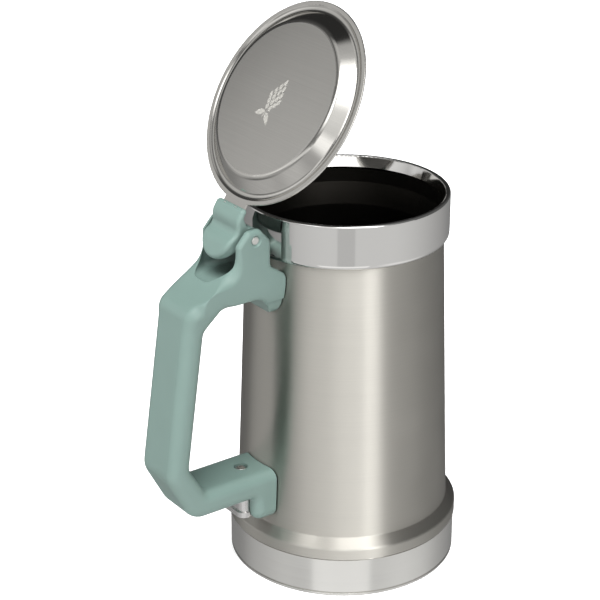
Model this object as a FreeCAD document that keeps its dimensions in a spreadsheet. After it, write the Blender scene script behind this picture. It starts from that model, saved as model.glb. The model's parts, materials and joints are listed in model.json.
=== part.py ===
import FreeCAD, Part
import math
import os
import re

import Sketcher

# A lidded, double-walled steel beer stein with a moulded handle.
# Frame: millimetres, +Z up, origin at the centre of the base on the table.
# The handle points along -X and the lid's hinge pin lies along Y.
# The lid is drawn closed in its own frame, whose origin is on the pin, and its placement opens it.

doc = FreeCAD.newDocument("beer_stein")

SIZES = {
    "Vessel": {
        "base_radius": 50.0,
        "base_height": 18.4,
        "base_wall": 0.7,
        "base_toe_height": 1.6,
        "base_toe_groove": 0.7,
        "base_recess_radius": 44.0,
        "base_recess_depth": 1.6,
        "base_spigot_height": 2.6,
        "seam_gap": 0.75,
        "seam_relief": 0.4,
        "shoulder_radius": 50.5,
        "shoulder_height": 23.2,
        "belly_radius": 46.47,
        "belly_height": 27.0,
        "neck_radius": 42.14,
        "neck_height": 148.87,
        "shell_wall": 0.7,
        "shoulder_round": 1.2,
        "shoulder_crease": 0.6,
    },
    "Rim": {
        "rim_height": 168.63,
        "band_radius": 44.4,
        "band_round": 2.6,
        "band_wall": 0.8,
        "lip_top_radius": 42.5,
        "lip_edge_radius": 41.15,
        "lip_edge_height": 163.79,
        "lip_land": 0.8,
        "rim_round": 0.85,
    },
    "Liner": {
        "liner_wall": 0.6,
        "liner_neck_height": 157.0,
        "liner_throat_radius": 39.3,
        "liner_throat_height": 147.0,
        "liner_belly_radius": 42.6,
        "liner_belly_height": 38.0,
        "liner_floor_height": 30.0,
        "liner_floor_round": 9.0,
        "foil_gap": 0.25,
        "foil_thickness": 0.12,
        "foil_bottom": 44.0,
        "foil_top": 140.0,
    },
    "Vacuum": {
        "end_plate_height": 21.2,
        "end_plate_thickness": 0.8,
        "seal_well_radius": 4.0,
        "seal_well_depth": 1.4,
        "seal_hole_radius": 1.0,
        "getter_radius": 6.0,
        "getter_height": 3.0,
        "getter_wall": 0.4,
        "getter_offset": 22.0,
    },
    "Handle": {
        "ear_half_width": 13.8,
        "grip_half_width": 12.3,
        "flare_top": 140.0,
        "flare_bottom": 127.0,
        "ear_back": 47.4,
        "ear_front": 63.4,
        "ear_top": 166.5,
        "ear_top_back": 52.5,
        "ear_top_front": 58.5,
        "ear_shoulder": 160.6,
        "slope_start_height": 151.6,
        "slope_end_reach": 86.8,
        "slope_end_height": 136.6,
        "knuckle_reach": 97.5,
        "knuckle_height": 64.0,
        "heel_reach": 85.9,
        "arm_bottom": 42.3,
        "arm_top": 53.8,
        "block_reach": 55.2,
        "block_bottom": 31.2,
        "inner_heel_reach": 79.0,
        "inner_knuckle_reach": 86.7,
        "inner_knuckle_height": 66.6,
        "inner_top_reach": 78.1,
        "inner_top_height": 126.6,
        "upper_arm_bottom": 135.8,
        "upper_arm_bend": 69.5,
        "saddle_bottom": 125.5,
        "saddle_nose": 44.6,
        "saddle_flare": 51.5,
        "saddle_top": 144.4,
        "saddle_shelf": 149.2,
        "body_gap": 0.45,
        "ear_edge": 1.8,
        "grip_edge": 4.6,
        "saddle_edge": 1.8,
        "saddle_corner": 8.0,
    },
    "Pocket": {
        "ear_gap_half": 11.5,
        "pocket_floor": 144.8,
        "pocket_front": 74.0,
        "pocket_nose_half": 4.6,
        "pocket_cheek": 66.5,
        "pocket_round": 2.4,
    },
    "Hinge": {
        "pin_reach": 54.8,
        "pin_height": 162.0,
        "pin_radius": 1.7,
        "pin_length": 26.4,
        "pin_end_round": 0.4,
        "pin_hole_radius": 1.71,
        "pin_mouth_radius": 2.6,
        "pin_mouth_depth": 0.9,
        "bush_radius": 3.0,
        "bush_clearance": 0.05,
        "bush_length": 7.0,
        "washer_radius": 3.3,
        "washer_thickness": 1.75,
        "lid_open_angle": 57.5,
    },
    "Lid": {
        "lid_reach": 54.8,
        "lid_rise": 7.68,
        "lid_sheet": 0.8,
        "lid_radius": 43.9,
        "lid_rim_radius": 42.0,
        "lid_foot_radius": 40.0,
        "lid_gutter_depth": 1.0,
        "lid_gutter_round": 2.0,
        "lid_crown_radius": 33.7,
        "lid_crown_height": 4.4,
        "lid_crown_round": 3.4,
        "lid_edge_round": 0.3,
        "strap_half_width": 7.25,
        "strap_end": 3.0,
        "rivet_radius": 1.1,
        "rivet_head_radius": 1.7,
        "rivet_head_height": 0.7,
        "rivet_reach": 7.9,
        "rivet_spread": 3.8,
        "rivet_depth": 1.7,
    },
    "Lever": {
        "lever_half_width": 9.6,
        "lever_nose": 9.5,
        "lever_top": 9.8,
        "lever_block_end": 3.6,
        "valley_reach": -0.9,
        "valley_height": 6.7,
        "crest_reach": -5.4,
        "crest_height": 9.2,
        "tip_reach": -13.9,
        "tip_top": 7.9,
        "tip_bottom": 5.2,
        "tongue_root_reach": -4.4,
        "tongue_root_height": 2.4,
        "barrel_radius": 4.4,
        "throat_reach": 3.6,
        "throat_height": 4.2,
        "block_heel_reach": 6.0,
        "block_heel_height": 7.3,
        "lever_top_edge": 1.6,
        "lever_under_edge": 0.7,
        "slot_clearance": 0.04,
    },
    "Fixing": {
        "bracket_sheet": 1.2,
        "bracket_half_width": 7.2,
        "bracket_reach": 59.2,
        "bracket_bottom": 32.9,
        "bracket_top": 49.0,
        "bracket_corner": 3.0,
        "bracket_lip_step": 0.7,
        "bracket_lip_height": 2.4,
        "bracket_fit": 0.25,
        "weld_gap": 0.03,
        "tongue_plate_half_width": 7.0,
        "tongue_plate_reach": 61.0,
        "tongue_plate_top": 141.2,
        "weld_plate_bottom": 129.5,
        "weld_plate_top": 143.0,
        "weld_plate_reach": 44.2,
        "cavity_bottom": 136.0,
        "upper_screw_reach": 55.6,
        "lower_screw_reach": 54.7,
        "screw_head_radius": 2.7,
        "screw_head_height": 1.9,
        "screw_shank_radius": 1.5,
        "screw_shank_length": 6.4,
        "screw_bore_radius": 3.0,
        "screw_hole_radius": 1.7,
        "lower_bore_floor": 51.4,
        "upper_bore_floor": 142.7,
        "drive_width": 0.7,
        "drive_length": 3.0,
        "drive_depth": 1.1,
        "nut_radius": 3.2,
        "nut_height": 2.8,
    },
}

sheet = doc.addObject("Spreadsheet::Sheet", "Sizes")


def fill_sheet():
    """One row for each driving size: its name, its value and that value's alias."""
    row = 1
    for group, sizes in SIZES.items():
        sheet.set("A%d" % row, group)
        row += 1
        for name, value in sizes.items():
            sheet.set("A%d" % row, name)
            sheet.set("B%d" % row, str(value))
            sheet.setAlias("B%d" % row, name)
            row += 1
    doc.recompute()


fill_sheet()
NAMES = {name for sizes in SIZES.values() for name in sizes}


def bind(text):
    """An expression in which each size's name points at its cell."""

    def point_at_cell(word):
        return "Sizes." + word.group() if word.group() in NAMES else word.group()

    return re.sub(r"[a-z][a-z_]*", point_at_cell, text)


def value(text):
    """The number that an expression in the sheet's names gives now."""
    return float(sheet.evalExpression(bind(text)))


def plane(body, role):
    return next(item for item in body.Origin.OriginFeatures if item.Role == role)


def new_body(name):
    body = doc.addObject("PartDesign::Body", name)
    body.Label = name
    return body


def new_sketch(body, name, role, lift="0"):
    """A sketch on one of the body's own origin planes, lifted off it by an expression."""
    sketch = body.newObject("Sketcher::SketchObject", name)
    sketch.AttachmentSupport = [(plane(body, role), "")]
    sketch.MapMode = "FlatFace"
    if lift != "0":
        sketch.setExpression("AttachmentOffset.Base.z", bind(lift))
    return sketch


def pin_point(sketch, geometry, end, across, up):
    """Ties one point of a sketch to the sheet."""
    for axis, kind, text in ((-2, "DistanceX", across), (-1, "DistanceY", up)):
        if text == "0":
            sketch.addConstraint(Sketcher.Constraint("PointOnObject", geometry, end, axis))
        else:
            index = sketch.addConstraint(
                Sketcher.Constraint(kind, -1, 1, geometry, end, value(text))
            )
            sketch.setExpression("Constraints[%d]" % index, bind(text))


def arc_between(start, end, radius, side):
    """The short arc from start to end that bulges to the left (1) or right (-1) of the run."""
    chord = end - start
    left = FreeCAD.Vector(-chord.y, chord.x, 0).normalize()
    centre = (start + end) / 2 - left * side * math.sqrt(radius ** 2 - chord.Length ** 2 / 4)
    first, last = (end, start) if side > 0 else (start, end)
    angles = [math.atan2(spot.y - centre.y, spot.x - centre.x) for spot in (first, last)]
    full_circle = Part.Circle(centre, FreeCAD.Vector(0, 0, 1), radius)
    return Part.ArcOfCircle(full_circle, angles[0], angles[1])


def outline(sketch, corners):
    """A closed outline whose corners are expressions.

    A corner is (across, up) for a straight run to the next corner,
    or (across, up, radius, side) for an arc that bulges to that side of the run.
    """
    first = sketch.GeometryCount
    count = len(corners)
    spots = [FreeCAD.Vector(value(corner[0]), value(corner[1]), 0) for corner in corners]
    ends = []
    for step, corner in enumerate(corners):
        run = (spots[step], spots[(step + 1) % count])
        if len(corner) == 2:
            sketch.addGeometry(Part.LineSegment(*run))
            ends.append((1, 2))
            continue
        radius, side = corner[2:]
        number = sketch.addGeometry(arc_between(*run, value(radius), side))
        ends.append((2, 1) if side > 0 else (1, 2))
        index = sketch.addConstraint(Sketcher.Constraint("Radius", number, value(radius)))
        sketch.setExpression("Constraints[%d]" % index, bind(radius))
    for step in range(count):
        following = (step + 1) % count
        sketch.addConstraint(
            Sketcher.Constraint(
                "Coincident", first + step, ends[step][1], first + following, ends[following][0]
            )
        )
    for step, corner in enumerate(corners):
        pin_point(sketch, first + step, ends[step][0], corner[0], corner[1])


def circle(sketch, across, up, radius):
    centre = FreeCAD.Vector(value(across), value(up), 0)
    number = sketch.addGeometry(Part.Circle(centre, FreeCAD.Vector(0, 0, 1), value(radius)))
    pin_point(sketch, number, 3, across, up)
    index = sketch.addConstraint(Sketcher.Constraint("Radius", number, value(radius)))
    sketch.setExpression("Constraints[%d]" % index, bind(radius))


def revolve(body, name, kind, corners, axis="0"):
    """A full turn of an outline in the XZ plane, about Z or about an upright line at axis."""
    sketch = new_sketch(body, name + "_section", "XZ_Plane")
    outline(sketch, corners)
    feature = body.newObject("PartDesign::" + kind, name)
    feature.Profile = sketch
    if axis == "0":
        feature.ReferenceAxis = (sketch, ["V_Axis"])
    else:
        foot = FreeCAD.Vector(value(axis), 0, 0)
        line = sketch.addGeometry(Part.LineSegment(foot, foot + FreeCAD.Vector(0, 10, 0)), True)
        pin_point(sketch, line, 1, axis, "0")
        pin_point(sketch, line, 2, axis, "10")
        feature.ReferenceAxis = (sketch, ["Axis0"])
    feature.Angle = 360
    doc.recompute()
    return feature


def pad(body, name, sketch, length, symmetric=False):
    feature = body.newObject("PartDesign::Pad", name)
    feature.Profile = sketch
    feature.setExpression("Length", bind(length))
    if symmetric:
        feature.SideType = "Symmetric"
    doc.recompute()
    return feature


def cut(body, name, sketch, depth, symmetric=False, reverse=False):
    """A pocket, checked to have taken something away."""
    before = body.Shape.Volume
    pocket = body.newObject("PartDesign::Pocket", name)
    pocket.Profile = sketch
    pocket.Type = "Length"
    pocket.setExpression("Length", bind(depth))
    if symmetric:
        pocket.SideType = "Symmetric"
    pocket.Reversed = reverse
    doc.recompute()
    if body.Shape.Volume > before - 1e-6:
        raise RuntimeError(name + " cuts nothing")
    return pocket


def round_edges(body, name, edges, radius):
    fillet = body.newObject("PartDesign::Fillet", name)
    fillet.Base = (body.Tip if body.Tip != fillet else fillet.BaseFeature, edges)
    fillet.setExpression("Radius", bind(radius))
    doc.recompute()
    return fillet


def edges_where(shape, test):
    return ["Edge%d" % (number + 1) for number, edge in enumerate(shape.Edges) if test(edge)]


def ring_edges(shape, spots, centre="0"):
    """Edges that run round an upright axis, each picked by its radius and height."""
    wanted = [(value(radius), value(height)) for radius, height in spots]
    middle = value(centre)

    def is_wanted(edge):
        if not isinstance(edge.Curve, Part.Circle):
            return False
        spot = edge.Curve.Center
        if math.hypot(spot.x - middle, spot.y) > 1e-3:
            return False
        return any(
            abs(edge.Curve.Radius - radius) < 1e-3 and abs(spot.z - height) < 1e-3
            for radius, height in wanted
        )

    return edges_where(shape, is_wanted)


def cross_edges(shape, spots):
    """Straight edges along Y, each picked by where it stands in the XZ plane."""
    wanted = [(value(across), value(up)) for across, up in spots]

    def is_wanted(edge):
        if not isinstance(edge.Curve, Part.Line):
            return False
        if abs(edge.tangentAt(edge.FirstParameter).y) < 0.999:
            return False
        spot = edge.CenterOfMass
        return any(math.hypot(spot.x - x, spot.z - z) < 1e-3 for x, z in wanted)

    return edges_where(shape, is_wanted)


def cone_radius(height, gap="0"):
    """Expression: the outer radius of the tapered body at a height, plus a gap."""
    slope = "(neck_radius - belly_radius) / (neck_height - belly_height)"
    return "belly_radius + (%s - belly_height) * %s + %s" % (height, slope, gap)


def vessel_corners(top, gap):
    """Half of the vessel's outside, from its foot up to a height, with a gap all over it."""
    return [
        ("0", "base_height"),
        ("shoulder_radius + " + gap, "base_height"),
        ("shoulder_radius + " + gap, "shoulder_height"),
        ("belly_radius + " + gap, "belly_height + " + gap),
        (cone_radius(top, gap), top),
        ("0", top),
    ]


def clear_of_vessel(body, name, top, gap):
    """Takes away what would stand inside the vessel."""
    before = body.Shape.Volume
    groove = revolve(body, name, "Groove", vessel_corners(top, gap))
    if body.Shape.Volume > before - 1e-6:
        raise RuntimeError(name + " cuts nothing")
    return groove


# ---------------------------------------------------------------- vessel

def make_outer_shell():
    body = new_body("outer_shell")
    inner = "- shell_wall"
    revolve(body, "shell_wall_turned", "Revolution", [
        ("shoulder_radius", "base_height"),
        ("shoulder_radius", "shoulder_height"),
        ("belly_radius", "belly_height"),
        ("neck_radius", "neck_height"),
        ("neck_radius" + inner, "neck_height"),
        ("belly_radius" + inner, "belly_height - 0.3"),
        ("shoulder_radius" + inner, "shoulder_height - 0.3"),
        ("shoulder_radius" + inner, "base_height"),
    ])
    edges = ring_edges(body.Shape, [
        ("shoulder_radius", "shoulder_height"),
        ("shoulder_radius - shell_wall", "shoulder_height - 0.3"),
    ])
    round_edges(body, "shoulder_rounding", edges, "shoulder_round")
    edges = ring_edges(body.Shape, [("belly_radius", "belly_height")])
    round_edges(body, "crease_rounding", edges, "shoulder_crease")
    return body


def make_rim_collar():
    """A folded ring: foot, polished band, rolled rim and sloping lip."""
    body = new_body("rim_collar")
    revolve(body, "collar_turned", "Revolution", [
        ("neck_radius - shell_wall", "neck_height"),
        ("band_radius", "neck_height"),
        ("band_radius", "rim_height"),
        ("lip_top_radius", "rim_height"),
        ("lip_edge_radius", "lip_edge_height"),
        ("lip_edge_radius", "lip_edge_height - lip_land"),
        ("lip_edge_radius + liner_wall", "lip_edge_height - lip_land"),
        ("lip_top_radius", "rim_height - band_wall - 1.2"),
        ("band_radius - band_wall", "rim_height - band_wall"),
        ("band_radius - band_wall", "neck_height + band_wall"),
        ("neck_radius - shell_wall", "neck_height + band_wall"),
    ])
    edges = ring_edges(body.Shape, [("band_radius", "neck_height")])
    round_edges(body, "band_foot_rounding", edges, "band_round")
    edges = ring_edges(body.Shape, [("band_radius - band_wall", "neck_height + band_wall")])
    round_edges(body, "band_inside_rounding", edges, "band_round - band_wall")
    edges = ring_edges(body.Shape, [("band_radius", "rim_height"), ("lip_top_radius", "rim_height")])
    round_edges(body, "rim_rounding", edges, "rim_round")
    return body


def make_inner_liner():
    body = new_body("inner_liner")
    wall = "+ liner_wall"
    top = "lip_edge_height - lip_land"
    revolve(body, "liner_turned", "Revolution", [
        ("0", "liner_floor_height"),
        ("liner_belly_radius", "liner_floor_height"),
        ("liner_belly_radius", "liner_belly_height"),
        ("liner_throat_radius", "liner_throat_height"),
        ("lip_edge_radius", "liner_neck_height"),
        ("lip_edge_radius", top),
        ("lip_edge_radius" + wall, top),
        ("lip_edge_radius" + wall, "liner_neck_height"),
        ("liner_throat_radius" + wall, "liner_throat_height"),
        ("liner_belly_radius" + wall, "liner_belly_height"),
        ("liner_belly_radius" + wall, "liner_floor_height - liner_wall"),
        ("0", "liner_floor_height - liner_wall"),
    ])
    edges = ring_edges(body.Shape, [("liner_belly_radius", "liner_floor_height")])
    round_edges(body, "floor_rounding", edges, "liner_floor_round - 2")
    edges = ring_edges(body.Shape, [
        ("liner_belly_radius + liner_wall", "liner_floor_height - liner_wall"),
    ])
    round_edges(body, "floor_outside_rounding", edges, "liner_floor_round - 2 + liner_wall")
    return body


def make_radiation_foil():
    """Thin reflecting wrap that stands just off the liner."""
    body = new_body("radiation_foil")
    slope = "(liner_throat_radius - liner_belly_radius) / (liner_throat_height - liner_belly_height)"
    start = "liner_belly_radius + liner_wall + foil_gap + (%s - liner_belly_height) * " + slope
    revolve(body, "foil_turned", "Revolution", [
        (start % "foil_bottom", "foil_bottom"),
        (start % "foil_bottom" + " + foil_thickness", "foil_bottom"),
        (start % "foil_top" + " + foil_thickness", "foil_top"),
        (start % "foil_top", "foil_top"),
    ])
    return body


def make_vacuum_end_plate():
    """Disc that closes the wall space, with a well round its pumping hole."""
    body = new_body("vacuum_end_plate")
    rim = "shoulder_radius - shell_wall"
    floor = "end_plate_height"
    top = "end_plate_height + end_plate_thickness"
    revolve(body, "end_plate_turned", "Revolution", [
        ("seal_hole_radius", floor + " + seal_well_depth"),
        ("seal_well_radius", floor + " + seal_well_depth"),
        ("seal_well_radius + 1", floor),
        (rim, floor),
        (rim, top),
        ("seal_well_radius + 1.3", top),
        ("seal_well_radius + 0.3", top + " + seal_well_depth"),
        ("seal_hole_radius", top + " + seal_well_depth"),
    ])
    return body


def make_seal_bead():
    """Braze bead that plugs the pumping hole."""
    body = new_body("vacuum_seal_bead")
    well = "end_plate_height + seal_well_depth"
    revolve(body, "bead_turned", "Revolution", [
        ("0", well + " - 0.9"),
        ("seal_well_radius - 1.6", well + " - 0.7"),
        ("seal_well_radius - 1.2", well),
        ("seal_hole_radius", well),
        ("seal_hole_radius", well + " + end_plate_thickness"),
        ("0", well + " + end_plate_thickness"),
    ])
    return body


def make_getter():
    """Small dish under the liner's floor and the gas-absorbing pellet pressed into it."""
    under = "liner_floor_height - liner_wall"
    dish = new_body("getter_dish")
    revolve(dish, "dish_turned", "Revolution", [
        ("0", under),
        ("getter_radius", under),
        ("getter_radius", under + " - getter_height"),
        ("getter_radius - getter_wall", under + " - getter_height"),
        ("getter_radius - getter_wall", under + " - getter_wall"),
        ("0", under + " - getter_wall"),
    ])
    pellet = new_body("getter_pellet")
    revolve(pellet, "pellet_turned", "Revolution", [
        ("0", under + " - getter_wall"),
        ("getter_radius - getter_wall", under + " - getter_wall"),
        ("getter_radius - getter_wall", under + " - getter_height + 0.5"),
        ("0", under + " - getter_height + 0.5"),
    ])
    for body in (dish, pellet):
        body.setExpression("Placement.Base.x", bind("getter_offset"))
    doc.recompute()
    return [dish, pellet]


def make_base_cup():
    """Polished cup under the seam: toe, wall, and a spigot that slips inside the shell."""
    body = new_body("base_cup")
    spigot = "shoulder_radius - shell_wall - 0.02"
    top = "base_height - seam_gap"
    revolve(body, "base_cup_turned", "Revolution", [
        ("0", "base_recess_depth"),
        ("base_recess_radius", "base_recess_depth"),
        ("base_recess_radius + 1.6", "0"),
        ("base_radius", "0"),
        ("base_radius", "base_toe_height - 0.4"),
        ("base_radius - base_toe_groove", "base_toe_height"),
        ("base_radius", "base_toe_height + 0.4"),
        ("base_radius", top),
        (spigot + " - seam_relief", top),
        (spigot + " - seam_relief", top + " + seam_gap + 0.1"),
        (spigot, top + " + seam_gap + 0.1"),
        (spigot, top + " + base_spigot_height"),
        (spigot + " - base_wall", top + " + base_spigot_height"),
        (spigot + " - base_wall", "base_wall + 1"),
        ("base_recess_radius + 2", "base_wall + 1"),
        ("base_recess_radius", "base_recess_depth + base_wall"),
        ("0", "base_recess_depth + base_wall"),
    ])
    edges = ring_edges(body.Shape, [("base_radius", "0")])
    round_edges(body, "toe_rounding", edges, "0.6")
    return body


# ---------------------------------------------------------------- handle

SIDE_CORNERS = [
    ("-36", "saddle_top - 3", None),
    ("-ear_back", "saddle_shelf", "3"),
    ("-ear_back", "ear_shoulder", "2.6"),
    ("-ear_top_back", "ear_top", "2.6"),
    ("-ear_top_front", "ear_top", "2.6"),
    ("-ear_front", "ear_shoulder + 0.4", "2.6"),
    ("-ear_front", "slope_start_height", "10"),
    ("-slope_end_reach", "slope_end_height", "7"),
    ("-knuckle_reach", "knuckle_height", "10"),
    ("-heel_reach", "arm_bottom", "9"),
    ("-block_reach", "arm_bottom", "2"),
    ("-block_reach", "block_bottom", "4.2"),
    ("-36", "block_bottom", None),
    ("-36", "arm_top", None),
    ("-inner_heel_reach", "arm_top", "3"),
    ("-inner_knuckle_reach", "inner_knuckle_height", "7"),
    ("-inner_top_reach", "inner_top_height", "6"),
    ("-upper_arm_bend", "upper_arm_bottom", "6"),
    ("-saddle_flare", "upper_arm_bottom", "7"),
    ("-saddle_nose", "saddle_bottom", "3"),
    ("-36", "saddle_bottom", None),
]


def side_edges(shape):
    """Edges between the handle's flanks and the faces that run across it, but for the inner end."""
    inner_end = -36 - 1e-3

    def is_wanted(edge):
        middle = edge.valueAt((edge.FirstParameter + edge.LastParameter) / 2)
        if edge.BoundBox.XMin > inner_end:
            return False
        slants = []
        for face in shape.ancestorsOfType(edge, Part.Face):
            u, v = face.Surface.parameter(middle)
            slants.append(abs(face.normalAt(u, v).y))
        return len(slants) == 2 and max(slants) > 0.9 and min(slants) < 0.3

    return edges_where(shape, is_wanted)


def ease(low, high, place, start, end):
    """A value that goes smoothly from low to high as place goes from start to end."""
    part = min(1.0, max(0.0, (place - start) / (end - start)))
    return low + (high - low) * part * part * (3 - 2 * part)


def handle_edge_radius(point):
    """Small on the ears and under the saddle, full along the grip and the lower arm."""
    reach = -point.x
    ear, grip, saddle = value("ear_edge"), value("grip_edge"), value("saddle_edge")
    if point.z < value("saddle_bottom") - 1:
        return grip
    if point.z < value("slope_end_height"):
        return ease(saddle, grip, reach, value("saddle_flare"), value("upper_arm_bend"))
    return ease(ear, grip, reach, value("ear_front") + 2, value("slope_end_reach") - 5)


def make_handle_blank():
    """The handle's outline as a slab, with its corners rounded and its flanks drawn in."""
    body = new_body("handle_blank")
    side = new_sketch(body, "handle_side", "XZ_Plane")
    outline(side, [(across, up) for across, up, _ in SIDE_CORNERS])
    pad(body, "handle_slab", side, "2 * ear_half_width", symmetric=True)
    radii = sorted({radius for _, _, radius in SIDE_CORNERS if radius}, key=float)
    for number, radius in enumerate(radii):
        spots = [(across, up) for across, up, own in SIDE_CORNERS if own == radius]
        edges = cross_edges(body.Shape, spots)
        round_edges(body, "corner_rounding_%d" % number, edges, radius)
    step = "(ear_half_width - grip_half_width)"
    rise = "(flare_top - flare_bottom)"
    bend = "(%s^2 + %s^2) / (4 * %s)" % (rise, step, step)
    front = new_sketch(body, "handle_front", "YZ_Plane")
    middle = ("(ear_half_width + grip_half_width) / 2", "(flare_top + flare_bottom) / 2")
    for sign, side_of_run in (("", 1), ("-", -1)):
        outline(front, [
            (sign + "grip_half_width", "20"),
            (sign + "grip_half_width", "flare_bottom", bend, side_of_run),
            (sign + middle[0], middle[1], bend, -side_of_run),
            (sign + "ear_half_width", "flare_top"),
            (sign + "20", "flare_top"),
            (sign + "20", "20"),
        ])
    cut(body, "flanks", front, "300", symmetric=True)
    return body


def round_handle(blank):
    """The blank with its long edges rounded by a radius that changes along them."""
    rounded = doc.addObject("Part::Fillet", "handle_rounded")
    rounded.Base = blank
    shape = blank.Shape
    rows = []
    for name in side_edges(shape):
        edge = shape.getElement(name)
        start = handle_edge_radius(edge.firstVertex(True).Point)
        end = handle_edge_radius(edge.lastVertex(True).Point)
        rows.append((int(name[4:]), start, end))
    rounded.Edges = rows
    doc.recompute()
    return rounded


def box_tool(name, reach, half_width, bottom, top, inner="30"):
    """A box from near the vessel's middle out to a reach, about the handle's mid-plane."""
    box = doc.addObject("Part::Box", name)
    box.setExpression("Length", bind("%s - %s" % (reach, inner)))
    box.setExpression("Width", bind("2 * (%s)" % half_width))
    box.setExpression("Height", bind("%s - (%s)" % (top, bottom)))
    box.setExpression("Placement.Base.x", bind("-(%s)" % reach))
    box.setExpression("Placement.Base.y", bind("-(%s)" % half_width))
    box.setExpression("Placement.Base.z", bind(bottom))
    return box


def upright_tool(name, radius, reach, bottom, length):
    """A drill along Z on the handle's mid-plane."""
    drill = doc.addObject("Part::Cylinder", name)
    drill.setExpression("Radius", bind(radius))
    drill.setExpression("Height", bind(length))
    drill.setExpression("Placement.Base.x", bind("-(%s)" % reach))
    drill.setExpression("Placement.Base.z", bind(bottom))
    return drill


def make_vessel_tool():
    """The vessel's outside with the handle's clearance on it."""
    body = new_body("vessel_clearance")
    revolve(body, "vessel_clearance_turned", "Revolution", vessel_corners("ear_shoulder", "body_gap"))
    return body


def make_saddle_corner_tool():
    """What rounds the saddle's two lower corners, seen from the front."""
    body = new_body("saddle_corner_tool")
    front = new_sketch(body, "saddle_corner_front", "YZ_Plane", "-saddle_flare")
    inner = "grip_half_width - saddle_corner"
    for sign, side in (("", -1), ("-", 1)):
        outline(front, [
            ("%s(%s)" % (sign, inner), "saddle_bottom", "saddle_corner", side),
            (sign + "(grip_half_width)", "saddle_bottom + saddle_corner"),
            (sign + "(grip_half_width + 2)", "saddle_bottom + saddle_corner"),
            (sign + "(grip_half_width + 2)", "saddle_bottom - 2"),
            ("%s(%s)" % (sign, inner), "saddle_bottom - 2"),
        ])
    pad(body, "saddle_corners", front, "saddle_flare - 36")
    return body


def make_pocket_tool():
    """What the lever's pocket takes away: a trough between the ears with a rounded nose."""
    body = new_body("lever_pocket_tool")
    plan = new_sketch(body, "pocket_plan", "XY_Plane", "pocket_floor")
    outline(plan, [
        ("-20", "ear_gap_half"),
        ("-pocket_cheek + 2.5", "ear_gap_half"),
        ("-pocket_front", "pocket_nose_half"),
        ("-pocket_front", "-pocket_nose_half"),
        ("-pocket_cheek + 2.5", "-ear_gap_half"),
        ("-20", "-ear_gap_half"),
    ])
    pad(body, "pocket_block", plan, "40")
    shape = body.Shape
    uprights = edges_where(shape, lambda edge: is_upright(edge) and edge.CenterOfMass.x < -30)
    round_edges(body, "pocket_corner_rounding", uprights, "3.5")
    floor = value("pocket_floor")
    shape = body.Shape
    rim = edges_where(shape, lambda edge: edge.BoundBox.ZMax < floor + 1e-3 and edge.BoundBox.XMin < -20.1)
    round_edges(body, "pocket_floor_rounding", rim, "pocket_round")
    return body


def is_upright(edge):
    return isinstance(edge.Curve, Part.Line) and abs(edge.tangentAt(edge.FirstParameter).z) > 0.999


def pin_bore_tools():
    """The bore through both ears and the countersunk mouth in each of them."""
    tools = []
    bore = doc.addObject("Part::Cylinder", "pin_bore")
    bore.setExpression("Radius", bind("pin_hole_radius"))
    bore.setExpression("Height", bind("2 * ear_half_width + 2"))
    bore.Placement.Rotation = FreeCAD.Rotation(FreeCAD.Vector(1, 0, 0), 90)
    bore.setExpression("Placement.Base.y", bind("ear_half_width + 1"))
    tools.append(bore)
    for side in (1, -1):
        mouth = doc.addObject("Part::Cone", "pin_mouth_%s" % ("far" if side > 0 else "near"))
        mouth.setExpression("Radius1", bind("pin_mouth_radius"))
        mouth.setExpression("Radius2", bind("pin_hole_radius"))
        mouth.setExpression("Height", bind("pin_mouth_depth"))
        mouth.Placement.Rotation = FreeCAD.Rotation(FreeCAD.Vector(1, 0, 0), 90 * side)
        mouth.setExpression("Placement.Base.y", bind("%d * (ear_half_width + 0.01)" % side))
        tools.append(mouth)
    for tool in tools:
        tool.setExpression("Placement.Base.x", bind("-pin_reach"))
        tool.setExpression("Placement.Base.z", bind("pin_height"))
    return tools


def make_handle():
    rounded = round_handle(make_handle_blank())
    fit = "bracket_fit"
    tools = [
        make_vessel_tool(),
        make_saddle_corner_tool(),
        make_pocket_tool(),
        box_tool("lower_bracket_slot", "bracket_reach + " + fit, "bracket_half_width + " + fit,
                 "20", "bracket_top + " + fit),
        box_tool("upper_tongue_slot", "tongue_plate_reach + " + fit, "tongue_plate_half_width + " + fit,
                 "cavity_bottom", "tongue_plate_top + " + fit),
        box_tool("weld_plate_slot", "weld_plate_reach + 0.6", "tongue_plate_half_width + " + fit,
                 "weld_plate_bottom - 0.6", "weld_plate_top + 0.6"),
        upright_tool("lower_screw_bore", "screw_bore_radius", "lower_screw_reach", "lower_bore_floor", "20"),
        upright_tool("lower_screw_hole", "screw_hole_radius", "lower_screw_reach", "bracket_top", "10"),
        upright_tool("upper_screw_bore", "screw_bore_radius", "upper_screw_reach", "upper_bore_floor", "20"),
        upright_tool("upper_screw_hole", "screw_hole_radius", "upper_screw_reach", "cavity_bottom", "10"),
    ] + pin_bore_tools()
    taken = doc.addObject("Part::MultiFuse", "handle_cutouts")
    taken.Shapes = tools
    handle = doc.addObject("Part::Cut", "handle_body")
    handle.Label = "handle_body"
    handle.Base = rounded
    handle.Tool = taken
    doc.recompute()
    return handle


# ---------------------------------------------------------------- fixings

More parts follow.
